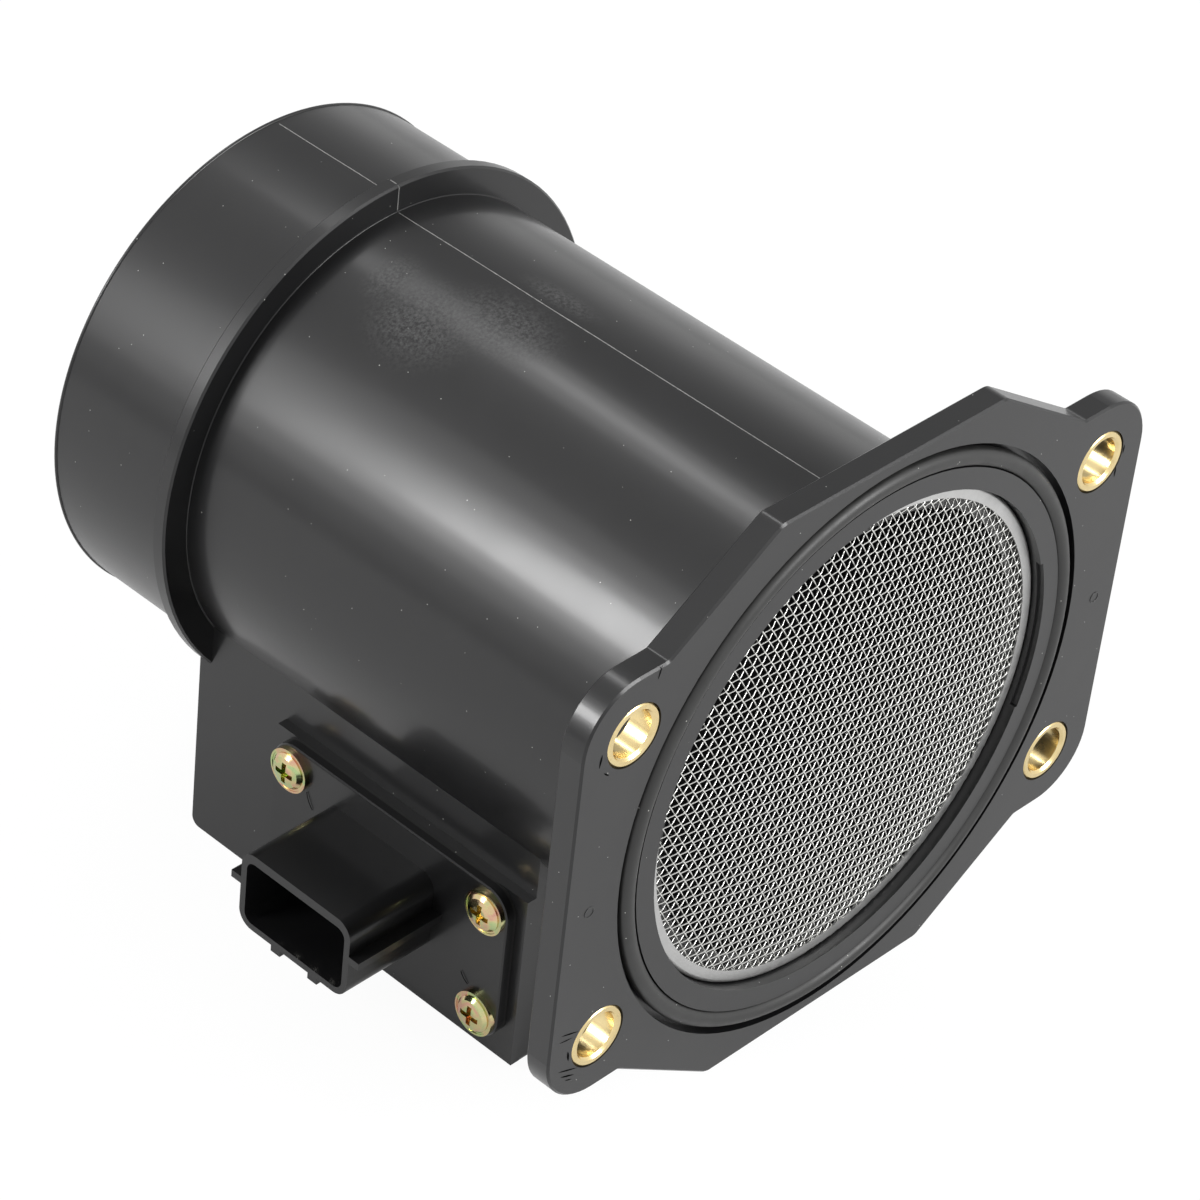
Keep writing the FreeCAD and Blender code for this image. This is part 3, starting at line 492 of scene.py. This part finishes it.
def weaveGauze(name, kind, other, phase, seed):
    draw = random.Random(seed)
    turn = math.radians(gauze[kind + "Angle"])
    otherTurn = math.radians(gauze[other + "Angle"])
    along = Vector((math.cos(turn), 0, math.sin(turn)))
    across = Vector((-math.sin(turn), 0, math.cos(turn)))
    otherAcross = Vector((-math.sin(otherTurn), 0, math.cos(otherTurn)))
    pitch = gauze[kind + "Pitch"]
    crimp = gauze[kind + "Crimp"]
    radius = gauze["radius"]
    step = pitch / gauze["pointsPerPitch"]
    rows = int(radius / pitch)
    vertices, faces = [], []
    for row in range(-rows, rows + 1):
        offset = row * pitch + draw.uniform(-1, 1) * gauze["wander"]
        if abs(offset) > radius - gauze["rimGap"]:
            continue
        half = math.sqrt(radius ** 2 - offset ** 2)
        count = max(int(2 * half / step), 2)
        points = []
        for index in range(count + 1):
            place = along * (-half + 2 * half * index / count) + across * offset
            # Counted in pitches of the crossing set, so over and under fall on its wires
            beat = place.dot(otherAcross) / gauze[other + "Pitch"]
            wave = math.cos(math.pi * (beat + row + phase)) * crimp
            cloud = Vector((place.x * gauze["driftScale"], place.z * gauze["driftScale"], seed))
            drift = noise.noise(cloud) * gauze["wander"] * 2
            # Nearly flat in the middle and steeper towards the rim
            spread = place.length / radius
            leaning = 1 + gauze["lean"] * (place.z - place.x) / radius / math.sqrt(2)
            lift = gauze["bulge"] * (1 - 0.5 * spread ** 2 - 0.5 * spread ** 4) * leaning
            point = place + across * drift
            point.y = gauze["planeY"] - lift + wave
            points.append(point * mm)
        addWire(vertices, faces, points, gauze["wire"] / 2 * mm, gauze["sides"], across)
    piece = addPiece(name, vertices, faces, finishes["stainless_wire"])
    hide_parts("wire_screen")


weaveGauze("gauze_warp", "warp", "weft", 0, 3)
weaveGauze("gauze_weft", "weft", "warp", 1, 7)
print("Gauze woven")


# Parting line of the mould: a thin bead of trimmed flash along the top of the duct, collar and
# spigot, and down the front of the collar. With it two round lines of the mould: a bead where its
# insert met the collar, and the lip at the open end of the spigot
seam = {
    "width": 0.20,           # mm
    "height": 0.06,          # mm
    "profile": ((-1, -0.3), (-0.55, 0.7), (0, 1), (0.55, 0.7), (1, -0.3)),   # of half width, height
    "unevenness": (0.6, 0.8, 0.15),     # least height, what the noise adds, noise scale per mm
    "start": 4.3,            # mm, just behind the flange
    "endGap": 0.4,           # mm left free at the spigot's end
    "step": 0.5,             # mm along the duct
    "wander": 0.06,          # mm, sideways
    "wanderScale": 0.04,     # per step
    "collarFront": (70.0, 36.6, 0.2, 22),   # rays from this Y at the collar: first Z, step, count
    "jump": 1.2,             # mm, a longer step between two points breaks the line
    "facing": -0.6,          # the line follows only surface that is turned towards the rays
    "rayHeight": 20.0,       # mm above the part
    # Where rays look for the collar's front, the duct's top and the spigot's top, in mm
    "collarProbe": ((0, 70, 38.5), (0, 1, 0)),
    "ductProbe": ((0, 80, 60), (0, 0, -1)),
    "spigotProbe": ((0, 108, 60), (0, 0, -1)),
    "insertRadius": 0.13,    # mm
    "insertReach": 144,      # degrees each way from the top
    "lipRadius": 0.3,        # mm
    "lipSunk": 0.3,          # share of its radius that the lip is sunk in the spigot
    "lipReach": 180,         # degrees each way, all round
    "roundSides": 8,
}
# Nylon where the flash was cut off: torn white in places, satin black between
flashNylon = smallDielectric("glass filled nylon, trimmed flash", ("#A8A8A6", "#151515"),
                             (0.28, 0.5), 1.1)


# Follows the housing's surface with rays, and breaks the line where the surface jumps
def traceSurface(starts, direction):
    runs = [[]]
    for start in starts:
        hit, spot, normal, _ = nodes["housing"].ray_cast(start, direction)
        if hit and normal.dot(direction) < seam["facing"]:
            if runs[-1] and (spot - runs[-1][-1][0]).length > seam["jump"] * mm:
                runs.append([])
            runs[-1].append((spot.copy(), normal.copy()))
        elif runs[-1]:
            runs.append([])
    return [run for run in runs if len(run) > 2]


def layPartingLine():
    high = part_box("housing")[1]
    step = seam["step"] * mm
    half = seam["width"] / 2 * mm
    count = int((high.y - (seam["start"] + seam["endGap"]) * mm) / step)
    topStarts = []
    for index in range(count):
        sideways = noise.noise(Vector((0, seam["wanderScale"] * index, 5))) * seam["wander"]
        topStarts.append(Vector((sideways * mm, seam["start"] * mm + index * step,
                                 high.z + seam["rayHeight"] * mm)))
    y, z, zStep, zCount = seam["collarFront"]
    frontStarts = [Vector((0, y * mm, (z + zStep * index) * mm)) for index in range(zCount)]
    runs = traceSurface(topStarts, Vector((0, 0, -1)))
    runs += traceSurface(frontStarts, Vector((0, 1, 0)))
    profile = seam["profile"]
    least, added, scale = seam["unevenness"]
    vertices, faces = [], []
    for run in runs:
        first = len(vertices)
        for spot, normal in run:
            uneven = least + added * abs(noise.noise(Vector((3, spot.y / mm * scale, 1))))
            for sideways, rise in profile:
                raised = normal * rise * seam["height"] * mm * uneven
                vertices.append(spot + Vector((sideways * half, 0, 0)) + raised)
        width = len(profile)
        for index in range(len(run) - 1):
            for strip in range(width - 1):
                a = first + index * width + strip
                faces.append((a, a + width, a + width + 1, a + 1))
    addPiece("parting_line", vertices, faces, flashNylon)


# A round bead about the bore's axis, between two angles from the top
def layRound(name, y, radius, thickness, reach):
    vertices, faces, points = [], [], []
    for index in range(reach + 1):
        turn = math.radians(-reach + 2 * index)
        points.append(Vector((math.sin(turn) * radius, y, math.cos(turn) * radius)))
    addWire(vertices, faces, points, thickness, seam["roundSides"], Vector((0, 1, 0)))
    addPiece(name, vertices, faces, nylon)


def layRoundLines():
    collar, duct, spigot = (
        nodes["housing"].ray_cast(Vector(start) * mm, Vector(direction))[1]
        for start, direction in (seam["collarProbe"], seam["ductProbe"], seam["spigotProbe"]))
    layRound("insert_line", collar.y, duct.z, seam["insertRadius"] * mm, seam["insertReach"])
    lip = seam["lipRadius"] * mm
    layRound("spigot_lip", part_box("housing")[1].y - lip, spigot.z - seam["lipSunk"] * lip, lip,
             seam["lipReach"])


layPartingLine()
layRoundLines()
print("Parting lines laid")

# Marks on the flange and module: round ejector marks, scores left by bolts, and caught hairs
marks = {
    "ejectors": ((-49.6, -1.2), (49.7, -0.15)),     # mm across and up, on the flange face
    "ejectorRadius": 0.8,    # mm
    "ejectorLip": 0.09,      # mm, radius of the raised lip
    "ejectorSteps": 24,
    "ejectorSides": 6,
    "scores": (              # from, to and width in mm
        ((-50.6, 24.9), (-50.9, 22.9), 0.40), ((-49.9, 21.6), (-48.9, 20.7), 0.25),
        ((-41.8, 32.2), (-41.3, 34.2), 0.30), ((50.0, 25.6), (49.9, 24.2), 0.30),
        ((48.9, 22.4), (48.9, 20.7), 0.34), ((-52.1, -20.8), (-48.9, -21.8), 0.24),
        ((-52.3, -21.9), (-49.9, -22.3), 0.20), ((-50.5, -24.4), (-50.2, -26.2), 0.42),
        ((-51.9, -27.2), (-48.3, -28.5), 0.26), ((-51.3, -28.4), (-48.8, -29.4), 0.30),
        ((-50.4, -29.5), (-49.1, -30.0), 0.20),
    ),
    "scoreProud": 0.015,     # mm in front of the flange face
    # Along a score, its share of the full width: it runs out at both ends
    "scoreSwell": ((0, 0.1), (0.2, 0.7), (0.5, 1.0), (0.8, 0.6), (1, 0.1)),
    "fibres": (              # one end, the bend and the other end of each hair, in mm
        ((-33.82, 65.9, -33.0), (-33.95, 65.6, -34.2), (-33.82, 64.6, -35.4)),
        ((-33.82, 34.4, -44.2), (-33.95, 33.9, -45.0), (-33.82, 33.0, -45.6)),
    ),
    "fibreRadius": 0.06,     # mm
    "fibreSteps": 8,
    "fibreSides": 5,
}
# Nylon scraped by a bolt: its skin is gone, so it is dull and blacker, with hardly any mirror
scoredNylon = smallDielectric("glass filled nylon, scored", ("#030303", "#0B0B0B"), (0.7, 0.9),
                              0.5, 1.1)


def layEjectorMarks():
    vertices, faces = [], []
    radius, steps = marks["ejectorRadius"], marks["ejectorSteps"]
    for x, z in marks["ejectors"]:
        points = []
        for index in range(steps + 1):
            turn = 2 * math.pi * index / steps
            across, up = radius * math.cos(turn), radius * math.sin(turn)
            points.append(Vector((x + across, 0, z + up)) * mm)
        addWire(vertices, faces, points, marks["ejectorLip"] * mm, marks["ejectorSides"],
                Vector((0, 1, 0)))
    addPiece("ejector_marks", vertices, faces, nylon)


def layBoltScores():
    vertices, faces = [], []
    for start, end, width in marks["scores"]:
        a, b = (Vector((x, -marks["scoreProud"], z)) for x, z in (start, end))
        side = (b - a).cross(Vector((0, 1, 0))).normalized() * width / 2
        first = len(vertices)
        for share, swell in marks["scoreSwell"]:
            middle = a.lerp(b, share)
            vertices.extend([(middle - side * swell) * mm, (middle + side * swell) * mm])
        for pair in range(len(marks["scoreSwell"]) - 1):
            corner = first + 2 * pair
            faces.append((corner, corner + 1, corner + 3, corner + 2))
    addPiece("bolt_scores", vertices, faces, scoredNylon, smooth=False)


def layFibres():
    vertices, faces = [], []
    steps = marks["fibreSteps"]
    for fibre in marks["fibres"]:
        a, b, c = (Vector(place) * mm for place in fibre)
        shares = [index / steps for index in range(steps + 1)]
        points = [a.lerp(b, share).lerp(b.lerp(c, share), share) for share in shares]
        addWire(vertices, faces, points, marks["fibreRadius"] * mm, marks["fibreSides"],
                Vector((1, 0, 0)))
    addPiece("caught_fibres", vertices, faces, scoredNylon)


layEjectorMarks()
layBoltScores()
layFibres()
print("Marks laid")

# Studio: pale floor that reads white, softboxes placed where the duct's highlights come from
studio = {
    "floorSize": 6.0,        # m
    "floorColours": ("#E4E4E4", "#E8E8E8"),
    "floorCloud": 0.025,     # m, size of the roller's clouds in the paint
    "floorWhite": 0.92,      # share of the plain white that the camera sees on the floor
    "floorMirrored": 0.28,   # the same share where the part mirrors the floor
    "floorStrength": 1.03,   # strength of that white
    "fill": 0.62,            # world light on the object
    "gapTowards": (0.62, 0.51, 0.60),   # a darker gap between the softboxes, seen in the duct
    "gapAngles": (30, 10),   # degrees off that line where the gap starts and where it is deepest
    "gapDepth": 0.5,
    "lamps": {
        # name: place in m, aimed at, size in m, watts
        "left softbox": ((-0.45, 0.37, 0.31), (-0.02, 0.03, 0.01), (0.26, 0.46), 0.48),
        "left softbox middle": ((-0.45, 0.31, 0.29), (-0.02, 0.03, 0.01), (0.17, 0.25), 0.58),
        "left softbox centre": ((-0.45, 0.30, 0.29), (-0.02, 0.03, 0.01), (0.10, 0.14), 0.80),
        "top softbox": ((0.14, 0.39, 0.63), (0.0, 0.04, 0.0), (0.16, 0.24), 0.34),
        "top softbox centre": ((0.14, 0.38, 0.63), (0.0, 0.04, 0.0), (0.05, 0.16), 0.12),
        "front softbox": ((0.35, -0.75, 0.45), (0.0, 0.0, 0.0), (0.5, 0.4), 7.5),
    },
}
white = (1, 1, 1, 1)


# Matt paint, rolled: a plain pale floor that takes the shadow, whitened for the camera
def makeFloor():
    low = cadBox[0]
    half = studio["floorSize"] / 2
    mesh = bpy.data.meshes.new("floor")
    corners = [(x * half, y * half, low.z) for x, y in ((-1, -1), (1, -1), (1, 1), (-1, 1))]
    mesh.from_pydata(corners, [], [(0, 1, 2, 3)])
    material = bpy.data.materials.new("matt paint, rolled")
    material.use_nodes = True
    tree = material.node_tree
    tree.nodes.clear()
    place = addNode(tree, "ShaderNodeTexCoord")
    mottle = addNode(tree, "ShaderNodeTexNoise",
                     {"Scale": 1 / studio["floorCloud"], "Detail": 3.0},
                     {"Vector": place.outputs["Object"]})
    first, second = (linearColour(colour) for colour in studio["floorColours"])
    tint = addNode(tree, "ShaderNodeMix", {"data_type": "RGBA", 6: first, 7: second},
                   {0: mottle.outputs["Fac"]})
    matt = addNode(tree, "ShaderNodeBsdfDiffuse", {}, {"Color": tint.outputs[2]})
    glow = addNode(tree, "ShaderNodeEmission",
                   {"Color": white, "Strength": studio["floorStrength"]})
    path = addNode(tree, "ShaderNodeLightPath")
    mirrored = addNode(tree, "ShaderNodeMath",
                       {"operation": "MULTIPLY", 1: studio["floorMirrored"]},
                       {0: path.outputs["Is Glossy Ray"]})
    share = addNode(tree, "ShaderNodeMath",
                    {"operation": "MULTIPLY_ADD", 1: studio["floorWhite"]},
                    {0: path.outputs["Is Camera Ray"], 2: mirrored.outputs[0]})
    mixed = addNode(tree, "ShaderNodeMixShader", {},
                    {0: share.outputs[0], 1: matt.outputs[0], 2: glow.outputs[0]})
    addNode(tree, "ShaderNodeOutputMaterial", {}, {"Surface": mixed.outputs[0]})
    mesh.materials.append(material)
    floor = bpy.data.objects.new("floor", mesh)
    bpy.context.scene.collection.objects.link(floor)


# Plain white to the camera and in mirror images, soft fill light for all the rest
def makeWorld():
    world = bpy.data.worlds.new("studio")
    bpy.context.scene.world = world
    world.use_nodes = True
    tree = world.node_tree
    tree.nodes.clear()
    fill = addNode(tree, "ShaderNodeBackground", {"Color": white, "Strength": studio["fill"]})
    # Mirrored in the duct, the studio has a darker gap
    place = addNode(tree, "ShaderNodeTexCoord")
    towards = Vector(studio["gapTowards"]).normalized()
    facing = addNode(tree, "ShaderNodeVectorMath",
                     {"operation": "DOT_PRODUCT", 1: tuple(towards)},
                     {0: place.outputs["Generated"]})
    outer, inner = (math.cos(math.radians(angle)) for angle in studio["gapAngles"])
    gap = addNode(tree, "ShaderNodeMapRange",
                  {"interpolation_type": "SMOOTHSTEP", "From Min": outer, "From Max": inner,
                   "To Max": studio["gapDepth"]}, {"Value": facing.outputs["Value"]})
    path = addNode(tree, "ShaderNodeLightPath")
    dimmed = addNode(tree, "ShaderNodeMath", {"operation": "MULTIPLY"},
                     {0: gap.outputs[0], 1: path.outputs["Is Glossy Ray"]})
    strength = addNode(tree, "ShaderNodeMath", {"operation": "SUBTRACT", 0: 1.0},
                       {1: dimmed.outputs[0]})
    plain = addNode(tree, "ShaderNodeBackground", {"Color": white},
                    {"Strength": strength.outputs[0]})
    seen = path.outputs["Is Camera Ray"]
    for ray in ("Is Glossy Ray", "Is Transmission Ray"):
        seen = addNode(tree, "ShaderNodeMath", {"operation": "MAXIMUM"},
                       {0: seen, 1: path.outputs[ray]}).outputs[0]
    mixed = addNode(tree, "ShaderNodeMixShader", {},
                    {0: seen, 1: fill.outputs[0], 2: plain.outputs[0]})
    addNode(tree, "ShaderNodeOutputWorld", {}, {"Surface": mixed.outputs[0]})


def hangLamps():
    for name, (place, target, size, watts) in studio["lamps"].items():
        data = bpy.data.lights.new(name, "AREA")
        data.shape = "RECTANGLE"
        data.size, data.size_y = size
        data.energy = watts
        lamp = bpy.data.objects.new(name, data)
        lamp.location = place
        aim = Vector(target) - Vector(place)
        lamp.rotation_euler = aim.to_track_quat("-Z", "Y").to_euler()
        lamp.visible_camera = False
        bpy.context.scene.collection.objects.link(lamp)


makeFloor()
makeWorld()
hangLamps()
print("Studio lit")

# Camera: placed from the shape of the flange and the duct in the picture
viewpoint = {
    "place": (-0.40145, -0.29325, 0.39946),
    "look": (0.60589, 0.51195, -0.60893),
    "up": (0.38823, 0.47781, 0.78801),
    "sensorWidth": 36.0,     # mm
    "focalLength": 146.02,   # mm on that sensor
    "clip": (0.01, 20.0),    # m
}


def setCamera():
    data = bpy.data.cameras.new("camera")
    data.sensor_fit = "HORIZONTAL"
    data.sensor_width = viewpoint["sensorWidth"]
    data.lens = viewpoint["focalLength"]
    data.clip_start, data.clip_end = viewpoint["clip"]
    camera = bpy.data.objects.new("camera", data)
    look = Vector(viewpoint["look"]).normalized()
    right = look.cross(Vector(viewpoint["up"])).normalized()
    up = right.cross(look)
    turned = Matrix((right, up, -look)).transposed()
    camera.matrix_world = Matrix.Translation(viewpoint["place"]) @ turned.to_4x4()
    bpy.context.scene.collection.objects.link(camera)
    bpy.context.scene.camera = camera


setCamera()
bpy.context.scene.view_settings.view_transform = "Standard"
print("Camera set")
